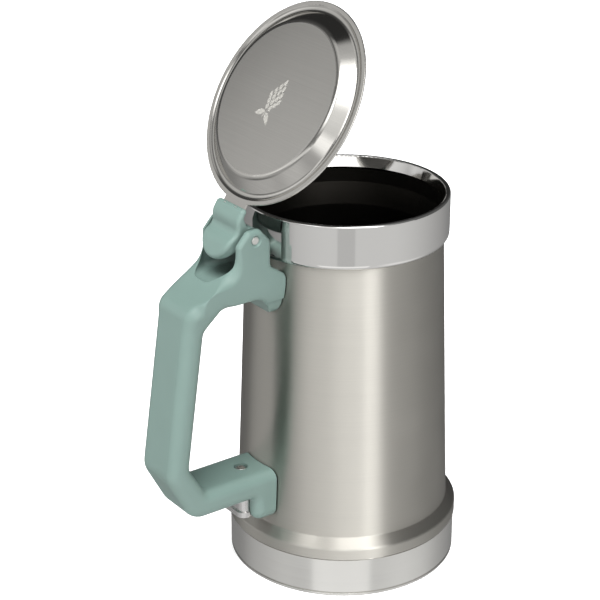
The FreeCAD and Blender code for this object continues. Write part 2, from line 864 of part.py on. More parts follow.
def make_upper_bracket():
    """A plate welded to the vessel with a level tongue inside the handle's upper block."""
    body = new_body("upper_bracket")
    side = new_sketch(body, "upper_bracket_side", "XZ_Plane")
    outline(side, [
        ("-36", "weld_plate_bottom"),
        ("-weld_plate_reach", "weld_plate_bottom"),
        ("-weld_plate_reach", "tongue_plate_top - bracket_sheet"),
        ("-tongue_plate_reach", "tongue_plate_top - bracket_sheet"),
        ("-tongue_plate_reach", "tongue_plate_top"),
        ("-weld_plate_reach", "tongue_plate_top"),
        ("-weld_plate_reach", "weld_plate_top"),
        ("-36", "weld_plate_top"),
    ])
    pad(body, "upper_bracket_strip", side, "2 * tongue_plate_half_width", symmetric=True)
    clear_of_vessel(body, "upper_bracket_seat", "neck_height", "weld_gap")
    hole = new_sketch(body, "upper_bracket_hole", "XY_Plane", "tongue_plate_top + 1")
    circle(hole, "-upper_screw_reach", "0", "screw_hole_radius")
    cut(body, "upper_screw_clearance", hole, "5")
    return body


def make_lower_bracket():
    """A drawn box, open towards the vessel and below, with a lip round the front of its mouth."""
    body = new_body("lower_bracket")
    plan = new_sketch(body, "lower_bracket_plan", "XY_Plane", "bracket_bottom")
    outline(plan, [
        ("-36", "bracket_half_width"),
        ("-bracket_reach", "bracket_half_width"),
        ("-bracket_reach", "-bracket_half_width"),
        ("-36", "-bracket_half_width"),
    ])
    pad(body, "lower_bracket_block", plan, "bracket_top - bracket_bottom")
    reach = value("bracket_reach")
    corners = edges_where(body.Shape, lambda edge: is_upright(edge) and edge.CenterOfMass.x < 1 - reach)
    round_edges(body, "bracket_corner_rounding", corners, "bracket_corner")
    top = value("bracket_top")
    rim = edges_where(
        body.Shape,
        lambda edge: edge.BoundBox.ZMin > top - 1e-3 and edge.BoundBox.XMin < -36.1,
    )
    round_edges(body, "bracket_top_rounding", rim, "bracket_sheet + 0.4")
    lip = new_sketch(body, "bracket_lip_plan", "XY_Plane", "bracket_bottom")
    outline(lip, [
        ("-block_reach - 0.6", "bracket_half_width + bracket_lip_step"),
        ("-bracket_reach - bracket_lip_step", "bracket_half_width + bracket_lip_step"),
        ("-bracket_reach - bracket_lip_step", "-bracket_half_width - bracket_lip_step"),
        ("-block_reach - 0.6", "-bracket_half_width - bracket_lip_step"),
    ])
    pad(body, "bracket_lip", lip, "bracket_lip_height")
    corners = edges_where(body.Shape, lambda edge: is_upright(edge) and edge.CenterOfMass.x < -reach - 0.1)
    round_edges(body, "bracket_lip_rounding", corners, "bracket_corner + bracket_lip_step")
    hollow = new_sketch(body, "lower_bracket_hollow", "XY_Plane", "bracket_bottom - 1")
    outline(hollow, [
        ("-30", "bracket_half_width - bracket_sheet"),
        ("-bracket_reach + bracket_corner", "bracket_half_width - bracket_sheet",
         "bracket_corner - bracket_sheet", 1),
        ("-bracket_reach + bracket_sheet", "bracket_half_width - bracket_corner"),
        ("-bracket_reach + bracket_sheet", "-bracket_half_width + bracket_corner",
         "bracket_corner - bracket_sheet", 1),
        ("-bracket_reach + bracket_corner", "-bracket_half_width + bracket_sheet"),
        ("-30", "-bracket_half_width + bracket_sheet"),
    ])
    cut(body, "bracket_hollow", hollow, "bracket_top - bracket_bottom - bracket_sheet + 1", reverse=True)
    clear_of_vessel(body, "lower_bracket_seat", "neck_height", "weld_gap")
    hole = new_sketch(body, "lower_bracket_hole", "XY_Plane", "bracket_top + 1")
    circle(hole, "-lower_screw_reach", "0", "screw_hole_radius")
    cut(body, "lower_screw_clearance", hole, "3")
    return body


def make_screw(name, reach, seat):
    """A pan-headed screw with a cross recess; its own origin is under the head."""
    body = new_body(name)
    revolve(body, name + "_turned", "Revolution", [
        ("0", "-screw_shank_length"),
        ("screw_shank_radius - 0.4", "-screw_shank_length"),
        ("screw_shank_radius", "-screw_shank_length + 0.6"),
        ("screw_shank_radius", "0"),
        ("screw_head_radius", "0"),
        ("screw_head_radius", "screw_head_height - 0.8"),
        ("screw_head_radius - 0.9", "screw_head_height"),
        ("0", "screw_head_height"),
    ])
    cross = new_sketch(body, name + "_cross", "XY_Plane", "screw_head_height")
    arm, half = "drive_length / 2", "drive_width / 2"
    outline(cross, [
        (arm, "-" + half), (arm, half), (half, half), (half, arm),
        ("-" + half, arm), ("-" + half, half), ("-" + arm, half), ("-" + arm, "-" + half),
        ("-" + half, "-" + half), ("-" + half, "-" + arm), (half, "-" + arm), (half, "-" + half),
    ])
    cut(body, name + "_drive", cross, "drive_depth")
    body.Placement.Rotation = FreeCAD.Rotation(FreeCAD.Vector(0, 0, 1), 28)
    body.setExpression("Placement.Base.x", bind("-(%s)" % reach))
    body.setExpression("Placement.Base.z", bind(seat))
    doc.recompute()
    return body


def make_nut(name, reach, top):
    """A six-sided weld nut hanging under its bracket."""
    body = new_body(name)
    plan = new_sketch(body, name + "_plan", "XY_Plane")
    corners = []
    for step in range(6):
        turn = 60 * step + 30
        across = "nut_radius * cos(%d)" % turn if turn % 180 != 90 else "0"
        corners.append((across, "nut_radius * sin(%d)" % turn))
    outline(plan, corners)
    circle(plan, "0", "0", "screw_shank_radius + 0.02")
    pad(body, name + "_blank", plan, "nut_height")
    body.setExpression("Placement.Base.x", bind("-(%s)" % reach))
    body.setExpression("Placement.Base.z", bind("%s - nut_height" % top))
    doc.recompute()
    return body


# ---------------------------------------------------------------- hinge and lid

def open_on_pin(item):
    """Puts a piece that was drawn closed, about the pin, at the lid's resting angle."""
    item.Placement = FreeCAD.Placement(
        FreeCAD.Vector(-value("pin_reach"), 0, value("pin_height")),
        FreeCAD.Rotation(FreeCAD.Vector(0, -1, 0), value("lid_open_angle")),
    )
    item.setExpression("Placement.Base.x", bind("-pin_reach"))
    item.setExpression("Placement.Base.z", bind("pin_height"))
    item.setExpression("Placement.Rotation.Angle", bind("lid_open_angle"))
    doc.recompute()
    return item


def make_hinge_pin():
    body = new_body("hinge_pin")
    section = new_sketch(body, "pin_section", "XZ_Plane")
    circle(section, "0", "0", "pin_radius")
    pad(body, "pin_rod", section, "pin_length", symmetric=True)
    rims = edges_where(body.Shape, lambda edge: isinstance(edge.Curve, Part.Circle))
    round_edges(body, "pin_end_rounding", rims, "pin_end_round")
    body.setExpression("Placement.Base.x", bind("-pin_reach"))
    body.setExpression("Placement.Base.z", bind("pin_height"))
    doc.recompute()
    return body


def make_ring_pair(name, outer, inner, start, length):
    """Two equal rings on the pin, one at each end of the lever."""
    rings = []
    for side, end in ((1, "far"), (-1, "near")):
        body = new_body("%s_%s" % (name, end))
        section = new_sketch(body, "%s_%s_section" % (name, end), "XZ_Plane", "%d * (%s)" % (-side, start))
        circle(section, "0", "0", outer)
        circle(section, "0", "0", inner)
        ring = pad(body, "%s_%s_ring" % (name, end), section, length)
        ring.Reversed = side > 0
        rings.append(body)
    pair = doc.addObject("Part::Compound", name)
    pair.Label = name
    pair.Links = rings
    return open_on_pin(pair)


def make_lid_plate():
    """Pressed disc: a raised crown, a sloping skirt, a gutter round its foot, a flat rim and a strap."""
    body = new_body("lid_plate")
    rise = "lid_rise"
    under = "lid_rise - lid_sheet"
    crown = rise + " + lid_crown_height"
    gutter = rise + " - lid_gutter_depth"

    def at(radius):
        return "lid_reach + " + radius

    revolve(body, "lid_disc", "Revolution", [
        ("lid_reach", crown),
        (at("lid_crown_radius"), crown),
        (at("lid_foot_radius"), gutter),
        (at("lid_rim_radius"), rise),
        (at("lid_radius"), rise),
        (at("lid_radius"), under),
        (at("lid_rim_radius + 0.3"), under),
        (at("lid_foot_radius"), gutter + " - 1.3 * lid_sheet"),
        (at("lid_crown_radius - 0.3"), crown + " - lid_sheet"),
        ("lid_reach", crown + " - lid_sheet"),
    ], axis="lid_reach")
    for name, spots, radius in (
        ("gutter_rounding", [("lid_foot_radius", gutter)], "lid_gutter_round"),
        ("gutter_under_rounding", [("lid_foot_radius", gutter + " - 1.3 * lid_sheet")],
         "lid_gutter_round + lid_sheet"),
        ("crown_rounding", [("lid_crown_radius", crown)], "lid_crown_round"),
        ("crown_under_rounding", [("lid_crown_radius - 0.3", crown + " - lid_sheet")],
         "lid_crown_round - lid_sheet"),
        ("flat_rim_rounding", [("lid_rim_radius", rise)], "0.7"),
        ("lid_edge_rounding", [("lid_radius", rise), ("lid_radius", under)], "lid_edge_round"),
    ):
        round_edges(body, name, ring_edges(body.Shape, spots, "lid_reach"), radius)
    plan = new_sketch(body, "strap_plan", "XY_Plane", under)
    root = "lid_reach - lid_radius + 1.6"
    outline(plan, [
        ("strap_end", "-strap_half_width"),
        (root, "-strap_half_width"),
        (root, "strap_half_width"),
        ("strap_end", "strap_half_width"),
    ])
    pad(body, "lid_strap", plan, "lid_sheet")
    drill = new_sketch(body, "rivet_plan", "XY_Plane", under + " - 1")
    for sign in ("", "-"):
        circle(drill, "rivet_reach", sign + "rivet_spread", "rivet_radius")
    cut(body, "rivet_holes", drill, "3", reverse=True)
    return open_on_pin(body)


def make_rivets():
    """Two pan-headed rivets that hold the strap to the lever from below."""
    rivets = []
    for sign, end in (("", "far"), ("-", "near")):
        body = new_body("strap_rivet_" + end)
        under = "lid_rise - lid_sheet"
        revolve(body, "strap_rivet_turned_" + end, "Revolution", [
            ("0", "-rivet_head_height"),
            ("rivet_head_radius - 0.6", "-rivet_head_height"),
            ("rivet_head_radius", "-0.2"),
            ("rivet_head_radius", "0"),
            ("rivet_radius", "0"),
            ("rivet_radius", "lid_sheet + rivet_depth"),
            ("0", "lid_sheet + rivet_depth"),
        ])
        body.setExpression("Placement.Base.x", bind("rivet_reach"))
        body.setExpression("Placement.Base.y", bind(sign + "rivet_spread"))
        body.setExpression("Placement.Base.z", bind(under))
        rivets.append(body)
    pair = doc.addObject("Part::Compound", "strap_rivets")
    pair.Label = "strap_rivets"
    pair.Links = rivets
    return open_on_pin(pair)


LEVER_CORNERS = [
    ("lever_nose", "block_heel_height", None),
    ("lever_nose", "lever_top", "1.9"),
    ("lever_block_end", "lever_top - 0.1", "6"),
    ("valley_reach", "valley_height", "3.5"),
    ("crest_reach", "crest_height", "8"),
    ("tip_reach", "tip_top", None),
    ("tip_reach", "tip_bottom", None),
    ("tongue_root_reach", "tongue_root_height", "3"),
    ("-barrel_radius + 1.6", "0", None),
    ("barrel_radius - 1.6", "0", None),
    ("throat_reach", "throat_height", "2"),
    ("block_heel_reach", "block_heel_height", "1.6"),
]


def make_thumb_lever():
    """Block over the strap, a valley, a broad tongue for the thumb, and a barrel on the pin."""
    body = new_body("thumb_lever")
    side = new_sketch(body, "lever_side", "XZ_Plane")
    outline(side, [(across, up) for across, up, _ in LEVER_CORNERS])
    pad(body, "lever_slab", side, "2 * lever_half_width", symmetric=True)
    for radius in sorted({own for _, _, own in LEVER_CORNERS if own}, key=float):
        spots = [(across, up) for across, up, own in LEVER_CORNERS if own == radius]
        edges = cross_edges(body.Shape, spots)
        round_edges(body, "lever_rounding_" + radius.replace(".", "_"), edges, radius)
    plan = new_sketch(body, "tongue_plan", "XY_Plane")
    start = "tip_reach + lever_half_width"
    outline(plan, [
        (start, "lever_half_width", "lever_half_width", -1),
        ("tip_reach", "0", "lever_half_width", -1),
        (start, "-lever_half_width"),
        (start, "-lever_half_width - 3"),
        ("tip_reach - 3", "-lever_half_width - 3"),
        ("tip_reach - 3", "lever_half_width + 3"),
        (start, "lever_half_width + 3"),
    ])
    cut(body, "tongue_end", plan, "20", reverse=True)
    for name, sign, radius in (("lever_top_rounding", 1, "lever_top_edge"),
                               ("lever_under_rounding", -1, "lever_under_edge")):
        round_edges(body, name, flank_edges(body.Shape, sign), radius)
    barrel = new_sketch(body, "barrel_section", "XZ_Plane")
    circle(barrel, "0", "0", "barrel_radius")
    pad(body, "lever_barrel", barrel, "2 * lever_half_width", symmetric=True)
    bore = new_sketch(body, "barrel_bore", "XZ_Plane")
    circle(bore, "0", "0", "bush_radius")
    cut(body, "lever_bore", bore, "40", symmetric=True)
    slot = new_sketch(body, "strap_slot_section", "YZ_Plane", "strap_end - slot_clearance")
    low, high = "lid_rise - lid_sheet - slot_clearance", "lid_rise + slot_clearance"
    half = "strap_half_width + slot_clearance"
    outline(slot, [("-(%s)" % half, low), (half, low), (half, high), ("-(%s)" % half, high)])
    cut(body, "strap_slot", slot, "30", reverse=True)
    drill = new_sketch(body, "rivet_seat_plan", "XY_Plane", "lid_rise")
    for sign in ("", "-"):
        circle(drill, "rivet_reach", sign + "rivet_spread", "rivet_radius")
    cut(body, "rivet_seats", drill, "rivet_depth + 0.1", reverse=True)
    return open_on_pin(body)


def flank_edges(shape, sign):
    """Edges between the lever's upright flanks and its upper (1) or lower (-1) faces."""

    def is_wanted(edge):
        middle = edge.valueAt((edge.FirstParameter + edge.LastParameter) / 2)
        normals = []
        for face in shape.ancestorsOfType(edge, Part.Face):
            u, v = face.Surface.parameter(middle)
            normals.append(face.normalAt(u, v))
        if len(normals) != 2:
            return False
        upright = [normal for normal in normals if abs(normal.z) < 1e-3 and abs(normal.y) > 1e-2]
        across = [normal for normal in normals if abs(normal.y) < 1e-3 and sign * normal.z > 0.3]
        return len(upright) == 1 and len(across) == 1 and middle.z > 2

    return edges_where(shape, is_wanted)


def find_faults(pieces):
    faults = [item.Name for item in doc.Objects if {"Invalid", "Error"} & set(item.State)]
    for piece in pieces:
        if piece.Shape.isNull() or not piece.Shape.isValid() or not piece.Shape.Solids:
            faults.append(piece.Label)
    return faults


def make_stein():
    pieces = [
        make_outer_shell(),
        make_rim_collar(),
        make_inner_liner(),
        make_radiation_foil(),
        make_vacuum_end_plate(),
        make_seal_bead(),
        *make_getter(),
        make_base_cup(),
        make_handle(),
        make_upper_bracket(),
        make_lower_bracket(),
        make_nut("upper_weld_nut", "upper_screw_reach", "tongue_plate_top - bracket_sheet"),
        make_nut("lower_weld_nut", "lower_screw_reach", "bracket_top - bracket_sheet"),
        make_screw("upper_screw", "upper_screw_reach", "upper_bore_floor"),
        make_screw("lower_screw", "lower_screw_reach", "lower_bore_floor"),
        make_hinge_pin(),
        make_ring_pair("hinge_bushes", "bush_radius", "pin_radius + bush_clearance",
                       "lever_half_width - bush_length", "bush_length"),
        make_ring_pair("hinge_washers", "washer_radius", "pin_radius + bush_clearance",
                       "lever_half_width", "washer_thickness"),
        make_lid_plate(),
        make_rivets(),
        make_thumb_lever(),
    ]
    doc.recompute()
    return pieces


parts_made = make_stein()
problems = find_faults(parts_made)
if problems:
    raise RuntimeError("failed: " + ", ".join(problems))
os.makedirs("parts", exist_ok=True)
for part_made in parts_made:
    part_made.Shape.exportStep("parts/%s.step" % part_made.Label)
    size = part_made.Shape.Volume / 1000
    print("%-18s %7.2f cm3 %d" % (part_made.Label, size, len(part_made.Shape.Solids)))
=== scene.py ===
import json
import math

import bmesh
import bpy
from mathutils import Euler, Matrix, Vector


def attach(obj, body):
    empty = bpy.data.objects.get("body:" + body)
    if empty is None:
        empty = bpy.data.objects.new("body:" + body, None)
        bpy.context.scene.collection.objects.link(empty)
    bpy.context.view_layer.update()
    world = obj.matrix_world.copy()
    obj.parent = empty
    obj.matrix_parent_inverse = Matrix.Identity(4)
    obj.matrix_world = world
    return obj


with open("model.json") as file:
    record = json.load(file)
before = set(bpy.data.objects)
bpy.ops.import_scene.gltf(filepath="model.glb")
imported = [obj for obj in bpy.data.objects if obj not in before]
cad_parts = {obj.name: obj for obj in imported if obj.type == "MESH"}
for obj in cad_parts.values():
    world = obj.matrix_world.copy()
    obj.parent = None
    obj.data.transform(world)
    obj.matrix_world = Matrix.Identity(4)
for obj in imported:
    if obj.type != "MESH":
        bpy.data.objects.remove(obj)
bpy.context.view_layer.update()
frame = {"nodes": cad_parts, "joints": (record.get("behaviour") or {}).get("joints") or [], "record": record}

# Lengths are in metres and angles in radians, unless a name or a comment says otherwise.
MM = 0.001

hinge = next(joint for joint in frame["joints"] if joint["name"] == "lid_hinge")
PIN = Vector(hinge["pos_m"])
LID_OPEN = -math.radians(hinge["range_deg"][0])
LID_TILT = Euler((0, -LID_OPEN, 0))
LID_UP = LID_TILT.to_matrix() @ Vector((0, 0, 1))
LID_CENTRE = PIN + LID_TILT.to_matrix() @ Vector((-PIN.x, 0, 0))
CROWN_RADIUS = 33.7 * MM

# Most values of a noise lie between these two.
NOISE_LOW = 0.3
NOISE_HIGH = 0.7


# ---------------------------------------------------------------- node helpers

def feed(tree, socket, value):
    """Sets a socket, or links it when the value is another node's output."""
    if isinstance(value, bpy.types.NodeSocket):
        tree.links.new(value, socket)
    else:
        socket.default_value = value


def calculate(tree, operation, *values):
    node = tree.nodes.new("ShaderNodeMath")
    node.operation = operation
    for socket, value in zip(node.inputs, values):
        feed(tree, socket, value)
    return node.outputs[0]


def remap(tree, value, low, high, new_low, new_high, smooth=False):
    node = tree.nodes.new("ShaderNodeMapRange")
    node.interpolation_type = "SMOOTHSTEP" if smooth else "LINEAR"
    for socket, item in zip(node.inputs, (value, low, high, new_low, new_high)):
        feed(tree, socket, item)
    return node.outputs[0]


def blend_colors(tree, factor, first, second):
    node = tree.nodes.new("ShaderNodeMix")
    node.data_type = "RGBA"
    feed(tree, node.inputs["Factor"], factor)
    feed(tree, node.inputs["A"], first)
    feed(tree, node.inputs["B"], second)
    return node.outputs["Result"]


def object_coordinates(tree, place=(0, 0, 0), turn=(0, 0, 0)):
    """Coordinates in the piece's own frame, or in a frame placed and turned inside it."""
    coordinates = tree.nodes.new("ShaderNodeTexCoord").outputs["Object"]
    mapping = tree.nodes.new("ShaderNodeMapping")
    mapping.vector_type = "TEXTURE"
    feed(tree, mapping.inputs["Vector"], coordinates)
    feed(tree, mapping.inputs["Location"], tuple(place))
    feed(tree, mapping.inputs["Rotation"], tuple(turn))
    return mapping.outputs["Vector"]


def distance_from_z_axis(tree, vector):
    flattened = tree.nodes.new("ShaderNodeVectorMath")
    flattened.operation = "MULTIPLY"
    feed(tree, flattened.inputs[0], vector)
    feed(tree, flattened.inputs[1], (1, 1, 0))
    length = tree.nodes.new("ShaderNodeVectorMath")
    length.operation = "LENGTH"
    feed(tree, length.inputs[0], flattened.outputs["Vector"])
    return length.outputs["Value"]


def noise(tree, vector, cycles, detail=3.0):
    """Noise from 0 to 1, with its own number of cycles per metre along each axis."""
    mapping = tree.nodes.new("ShaderNodeMapping")
    feed(tree, mapping.inputs["Vector"], vector)
    feed(tree, mapping.inputs["Scale"], cycles)
    texture = tree.nodes.new("ShaderNodeTexNoise")
    feed(tree, texture.inputs["Vector"], mapping.outputs["Vector"])
    feed(tree, texture.inputs["Scale"], 1.0)
    feed(tree, texture.inputs["Detail"], detail)
    return texture.outputs["Fac"]


def stretched(tree, value):
    """Noise keeps near its middle value, and this spreads it over the whole range from 0 to 1."""
    return remap(tree, value, NOISE_LOW, NOISE_HIGH, 0.0, 1.0)


def mottled(tree, grain, cloud, grain_share):
    """Fine grain and broad faint clouds mixed in one pattern from 0 to 1."""
    grain_part = calculate(tree, "MULTIPLY", grain, grain_share)
    return stretched(tree, calculate(tree, "MULTIPLY_ADD", cloud, 1 - grain_share, grain_part))


def bump(tree, height, strength, depth, under=None):
    """Relief from a height, laid over another relief when one is given."""
    node = tree.nodes.new("ShaderNodeBump")
    feed(tree, node.inputs["Height"], height)
    feed(tree, node.inputs["Strength"], strength)
    feed(tree, node.inputs["Distance"], depth)
    if under is not None:
        feed(tree, node.inputs["Normal"], under)
    return node.outputs["Normal"]


def new_material(name):
    material = bpy.data.materials.new(name)
    material.use_nodes = True
    return material, material.node_tree, material.node_tree.nodes["Principled BSDF"]


def paint(tree, bsdf, shade, color, spread):
    """The base colour, a little darker and lighter than the given one as the shade runs from 0 to 1."""
    darker = tuple(channel * (1 - spread) for channel in color) + (1.0,)
    lighter = tuple(channel * (1 + spread) for channel in color) + (1.0,)
    feed(tree, bsdf.inputs["Base Color"], blend_colors(tree, shade, darker, lighter))


def roughen(tree, bsdf, shade, roughness, spread):
    """The roughness, a little below and above the given one as the shade runs from 0 to 1."""
    low = roughness * (1 - spread)
    high = roughness * (1 + spread)
    feed(tree, bsdf.inputs["Roughness"], remap(tree, shade, 0.0, 1.0, low, high))


# ---------------------------------------------------------------- materials

# Cycles of the grain per metre along x, y and z.
GRAIN_AROUND = (14, 14, 5200)
GRAIN_ACROSS_LID = (5200, 30, 30)
GRAIN_EVEN = (900, 900, 900)
GRAIN_MOULDED = (2600, 2600, 2600)

# Cycles of the broad clouds per metre along x, y and z.
CLOUDS_STEEL = (35, 35, 35)
CLOUDS_LID = (30, 30, 30)
CLOUDS_MOULDED = (60, 60, 60)

GRAIN_RELIEF = 0.35
GRAIN_DEPTH = 0.004 * MM
POLISHED_DEPTH = 0.0005 * MM
MOULDED_RELIEF = 0.25
MOULDED_DEPTH = 0.02 * MM
MOULDED_SPECULAR = 0.45

# A quarter of a turn lays the stretched highlight across the grain.
ACROSS_THE_GRAIN = 0.25

# The polish of the lid's skirt fades in between these distances from the lid's axis.
POLISH_START = CROWN_RADIUS - 1.6 * MM
POLISH_END = CROWN_RADIUS - 0.6 * MM

# The crown is shaded as if it sank by this much times the square of the distance from its middle.
DOME_CURVATURE = 0.9


def steel(name, color, roughness, grain_cycles, spread=0.05, grain_depth=GRAIN_DEPTH, anisotropy=0.0):
    """Steel with a fine grain: streaks in brightness, roughness and relief, and broad faint clouds."""
    material, tree, bsdf = new_material(name)
    here = object_coordinates(tree)
    grain = noise(tree, here, grain_cycles)
    cloud = noise(tree, here, CLOUDS_STEEL)
    shade = mottled(tree, grain, cloud, grain_share=0.5)
    paint(tree, bsdf, shade, color, spread)
    roughen(tree, bsdf, shade, roughness, spread=0.15)
    feed(tree, bsdf.inputs["Metallic"], 1.0)
    feed(tree, bsdf.inputs["Normal"], bump(tree, grain, GRAIN_RELIEF, grain_depth))
    if anisotropy:
        feed(tree, bsdf.inputs["Anisotropic"], anisotropy)
        feed(tree, bsdf.inputs["Anisotropic Rotation"], ACROSS_THE_GRAIN)
        tangent = tree.nodes.new("ShaderNodeTangent")
        tangent.direction_type = "RADIAL"
        tangent.axis = "Z"
        feed(tree, bsdf.inputs["Tangent"], tangent.outputs["Tangent"])
    return material


def domed_crown(tree, distance):
    """Shading that makes the flat crown look very slightly domed and leaves the skirt and rim alone."""
    inward = calculate(tree, "MINIMUM", distance, CROWN_RADIUS)
    height = calculate(tree, "MULTIPLY", calculate(tree, "MULTIPLY", inward, inward), -DOME_CURVATURE)
    return bump(tree, height, 1.0, 1.0)


def lid_steel(name, color, satin, polished):
    """Brushed steel on the crown that turns mirror bright on the skirt and rim round it."""
    material, tree, bsdf = new_material(name)
    from_pin = object_coordinates(tree, PIN, LID_TILT)
    grain = noise(tree, from_pin, GRAIN_ACROSS_LID)
    cloud = noise(tree, from_pin, CLOUDS_LID)
    paint(tree, bsdf, mottled(tree, grain, cloud, grain_share=0.6), color, spread=0.06)
    distance = distance_from_z_axis(tree, object_coordinates(tree, LID_CENTRE, LID_TILT))
    outside = remap(tree, distance, POLISH_START, POLISH_END, 0.0, 1.0, smooth=True)
    feed(tree, bsdf.inputs["Metallic"], 1.0)
    feed(tree, bsdf.inputs["Roughness"], remap(tree, outside, 0.0, 1.0, satin, polished))
    relief = remap(tree, outside, 0.0, 1.0, GRAIN_RELIEF, 0.0)
    brushed = bump(tree, grain, relief, GRAIN_DEPTH, under=domed_crown(tree, distance))
    feed(tree, bsdf.inputs["Normal"], brushed)
    return material


def plastic(name, color, roughness):
    """Moulded plastic with a fine spark-eroded grain."""
    material, tree, bsdf = new_material(name)
    here = object_coordinates(tree)
    grain = noise(tree, here, GRAIN_MOULDED, detail=2.0)
    shade = stretched(tree, noise(tree, here, CLOUDS_MOULDED))
    paint(tree, bsdf, shade, color, spread=0.03)
    roughen(tree, bsdf, shade, roughness, spread=0.07)
    feed(tree, bsdf.inputs["Specular IOR Level"], MOULDED_SPECULAR)
    feed(tree, bsdf.inputs["Normal"], bump(tree, grain, MOULDED_RELIEF, MOULDED_DEPTH))
    return material


MATERIALS = {
    "brushed_shell": steel("shell_steel", (0.62, 0.60, 0.55), 0.42, GRAIN_AROUND, anisotropy=0.97),
    "polished_rim": steel(
        "rim_steel", (0.74, 0.73, 0.71), 0.07, GRAIN_AROUND, spread=0.01, grain_depth=POLISHED_DEPTH
    ),
    "dark_liner": steel("liner_steel", (0.035, 0.032, 0.028), 0.42, GRAIN_AROUND),
    "foil": steel("bright_foil", (0.85, 0.85, 0.86), 0.12, GRAIN_EVEN),
    "plain_steel": steel("rolled_steel", (0.62, 0.61, 0.60), 0.26, GRAIN_EVEN),
    "braze": steel("braze_metal", (0.62, 0.55, 0.40), 0.35, GRAIN_EVEN),
    "getter": steel("getter_metal", (0.30, 0.29, 0.29), 0.60, GRAIN_EVEN),
    "satin_base": steel("base_steel", (0.74, 0.73, 0.70), 0.20, GRAIN_AROUND, anisotropy=0.5),
    "satin_lid": lid_steel("lid_steel", (0.64, 0.625, 0.59), satin=0.34, polished=0.10),
    "green_plastic": plastic("sage_plastic", (0.100, 0.147, 0.132), 0.33),
    "acetal": plastic("black_acetal", (0.02, 0.02, 0.02), 0.35),
    "screw_steel": steel("turned_steel", (0.78, 0.77, 0.74), 0.42, GRAIN_EVEN),
}


def paint_cad_nodes():
    slots = {part["node"]: part["material_slot"] for part in frame["record"]["subparts"]}
    for name, node in frame["nodes"].items():
        node.data.materials.clear()
        node.data.materials.append(MATERIALS[slots[name]])
        for face in node.data.polygons:
            face.material_index = 0


# ---------------------------------------------------------------- ornament on the lid

# The hop cone is drawn about the origin in units of its own, with its tip towards +x.
HOP_UNIT = 0.82 * MM
HOP_TURN = -0.30
ETCHING_UNITS_THICK = 0.03
ETCHING_SUNK = 0.015 * MM

# How many bracts each row holds, from the foot to the tip.
BRACT_ROWS = [2, 3, 4, 3, 2, 1]
BRACT_LENGTH = 3.9
BRACT_WIDTH = 2.1
FIRST_ROW = -7.2
ROW_SPACING = 2.9
BRACT_SPACING = 2.55
# Towards the sides the bracts start further back and lean outwards.
BRACT_SETBACK = 0.35
BRACT_LEAN = 0.16

STEM_FOOT = -12.0
STEM_LENGTH = 4.6
STEM_WIDTH = 0.7
LEAF_FOOT = (-8.2, 0.7)
LEAF_HEADING = 2.25
LEAF_LENGTH = 7.2
LEAF_WIDTH = 3.0

# Every stroke is a pointed leaf. A swell below 1 puts its widest place nearer the foot than the tip.
STROKE_STEPS = 14
STROKE_SWELL = 0.8

RAY_START = 50 * MM


def leaf_points(start, heading, length, width):
    """The outline of a pointed leaf, as (x, y) points from its foot round to its foot."""
    along = Vector((math.cos(heading), math.sin(heading)))
    across = Vector((-along.y, along.x))
    sides = []
    for side in (1, -1):
        half = []
        for step in range(STROKE_STEPS + 1):
            part = step / STROKE_STEPS
            swell = math.sin(math.pi * part ** STROKE_SWELL) * width / 2
            half.append(start + along * (length * part) + across * (side * swell))
        sides.append(half)
    return sides[0] + sides[1][-2:0:-1]


def hop_outlines():
    """The leaf-shaped strokes of a hop cone with a stem and two leaves."""
    outlines = [leaf_points(Vector((STEM_FOOT, 0)), 0.0, STEM_LENGTH, STEM_WIDTH)]
    for row, count in enumerate(BRACT_ROWS):
        for number in range(count):
            sideways = number - (count - 1) / 2
            back = FIRST_ROW + ROW_SPACING * row - BRACT_SETBACK * abs(sideways)
            foot = Vector((back, BRACT_SPACING * sideways))
            outlines.append(leaf_points(foot, BRACT_LEAN * sideways, BRACT_LENGTH, BRACT_WIDTH))
    for side in (1, -1):
        foot = Vector((LEAF_FOOT[0], LEAF_FOOT[1] * side))
        outlines.append(leaf_points(foot, LEAF_HEADING * side, LEAF_LENGTH, LEAF_WIDTH))
    return outlines


def crown_top():
    """The middle of the crown's upper face, found by dropping a ray on the lid along its own axis."""
    lid = frame["nodes"]["lid_plate"]
    hit, place, _, _ = lid.ray_cast(LID_CENTRE + LID_UP * RAY_START, -LID_UP)
    if not hit:
        raise RuntimeError("the lid's crown isn't where the hinge says")
    return place


def make_lid_etching():
    """A very thin hop cone in the middle of the lid's crown."""
    shape = bmesh.new()
    for outline in hop_outlines():
        corners = [shape.verts.new((spot.x, spot.y, 0.0)) for spot in outline]
        shape.faces.new(corners)
    faces = bmesh.ops.extrude_face_region(shape, geom=list(shape.faces))["geom"]
    lifted = [item for item in faces if isinstance(item, bmesh.types.BMVert)]
    bmesh.ops.translate(shape, verts=lifted, vec=(0, 0, ETCHING_UNITS_THICK))
    bmesh.ops.recalc_face_normals(shape, faces=list(shape.faces))
    mesh = bpy.data.meshes.new("lid_etching")
    shape.to_mesh(mesh)
    shape.free()
    etching = bpy.data.objects.new("lid_etching", mesh)
    etching.matrix_world = (
        Matrix.Translation(crown_top() - LID_UP * ETCHING_SUNK)
        @ LID_TILT.to_matrix().to_4x4()
        @ Matrix.Rotation(HOP_TURN, 4, "Z")
        @ Matrix.Scale(HOP_UNIT, 4)
    )
    bpy.context.scene.collection.objects.link(etching)
    mesh.materials.append(steel("etched_steel", (0.84, 0.83, 0.79), 0.85, GRAIN_EVEN))
    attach(etching, "lid")


# ---------------------------------------------------------------- stage

FLOOR_RADIUS = 12.0
FLOOR_DROP = 0.02 * MM
FLOOR_COLOR = (0.90, 0.90, 0.90, 1.0)
FLOOR_GLOW_COLOR = (1.0, 1.0, 1.0, 1.0)
FLOOR_GLOW = 0.4
FLOOR_ROUGHNESS = 0.9

